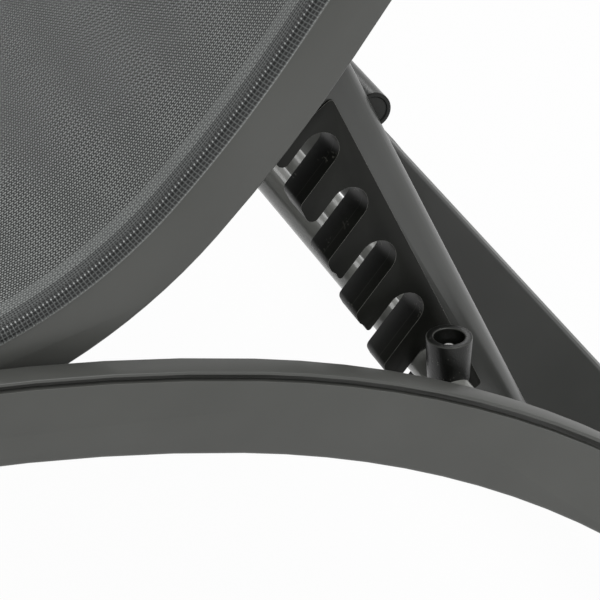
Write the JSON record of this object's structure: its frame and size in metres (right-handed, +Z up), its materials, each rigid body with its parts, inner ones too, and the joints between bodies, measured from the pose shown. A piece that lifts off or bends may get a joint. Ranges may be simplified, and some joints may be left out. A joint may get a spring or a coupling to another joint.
{
  "type": "reclining sun lounger",
  "caption": "Low garden lounger on two arched rails with a sling seat and a sling backrest that lowers on a notched strut frame.",
  "frame": {"origin": "on the floor, under the middle of the lounger's box at rest", "axes": "+X towards the head end, +Y towards the user's right, +Z up"},
  "size_m": [1.9013, 0.69, 0.8619],
  "materials": {
    "rail_coat": "anthracite powder coat, satin, fine texture",
    "strut_coat": "warm grey powder coat, satin",
    "black_plastic": "moulded black plastic, fine grain",
    "buffer_rubber": "moulded black rubber, matt",
    "fastener_steel": "plain stainless steel",
    "sling_fabric": "woven grey sling cloth with a dense dark hem",
    "cord_plastic": "smooth extruded cord"
  },
  "bodies": {
    "base": {"base_rail_left": "rail_coat", "base_rail_right": "rail_coat", "support_bar": "strut_coat", "rear_cross_rail": "rail_coat", "seat_tube_rear": "rail_coat", "seat_tube_middle": "rail_coat", "seat_tube_front": "rail_coat", "front_foot_left": "black_plastic", "front_foot_right": "black_plastic", "rear_foot_left": "black_plastic", "rear_foot_right": "black_plastic", "buffer_left": "buffer_rubber", "buffer_right": "buffer_rubber", "buffer_screws": "fastener_steel", "hinge_bolt_left": "fastener_steel", "hinge_bolt_right": "fastener_steel", "hinge_washer_left": "black_plastic", "hinge_washer_right": "black_plastic", "hinge_nut_left": "fastener_steel", "hinge_nut_right": "fastener_steel", "seat_sling": "sling_fabric", "seat_sling_cord_left": "cord_plastic", "seat_sling_cord_right": "cord_plastic"},
    "backrest": {"backrest_rail_left": "rail_coat", "backrest_rail_right": "rail_coat", "backrest_top_bar": "rail_coat", "backrest_lower_bar": "rail_coat", "hinge_bush_left": "black_plastic", "hinge_bush_right": "black_plastic", "rail_cap_lower_left": "black_plastic", "rail_cap_lower_right": "black_plastic", "rail_cap_upper_left": "black_plastic", "rail_cap_upper_right": "black_plastic", "backrest_sling": "sling_fabric", "backrest_sling_cord_left": "cord_plastic", "backrest_sling_cord_right": "cord_plastic"},
    "strut_frame": {"strut_pivot_tube": "rail_coat", "strut_left": "strut_coat", "strut_right": "strut_coat", "rack_left": "black_plastic", "rack_right": "black_plastic", "upper_tie_bar": "strut_coat", "lower_tie_bar": "strut_coat", "tie_bar_cap_left": "black_plastic", "tie_bar_cap_right": "black_plastic", "strut_end_cap_left": "black_plastic", "strut_end_cap_right": "black_plastic", "strut_bush_left": "black_plastic", "strut_bush_right": "black_plastic", "rack_screws": "fastener_steel"}
  },
  "joints": [
    {"name": "backrest_hinge", "type": "hinge", "parent": "base", "child": "backrest", "pos_m": [0.2386, 0, 0.33991], "axis": [0, 1, 0], "range_deg": [0, 33.6]},
    {"name": "strut_on_bar", "type": "hinge", "parent": "base", "child": "strut_frame", "pos_m": [0.6736, 0, 0.26403], "axis": [0, 1, 0], "range_deg": [0, 104.5]}
  ],
  "couplings": [
    {"joint": "strut_on_bar", "follows": "backrest_hinge", "ratio": 3.11}
  ]
}
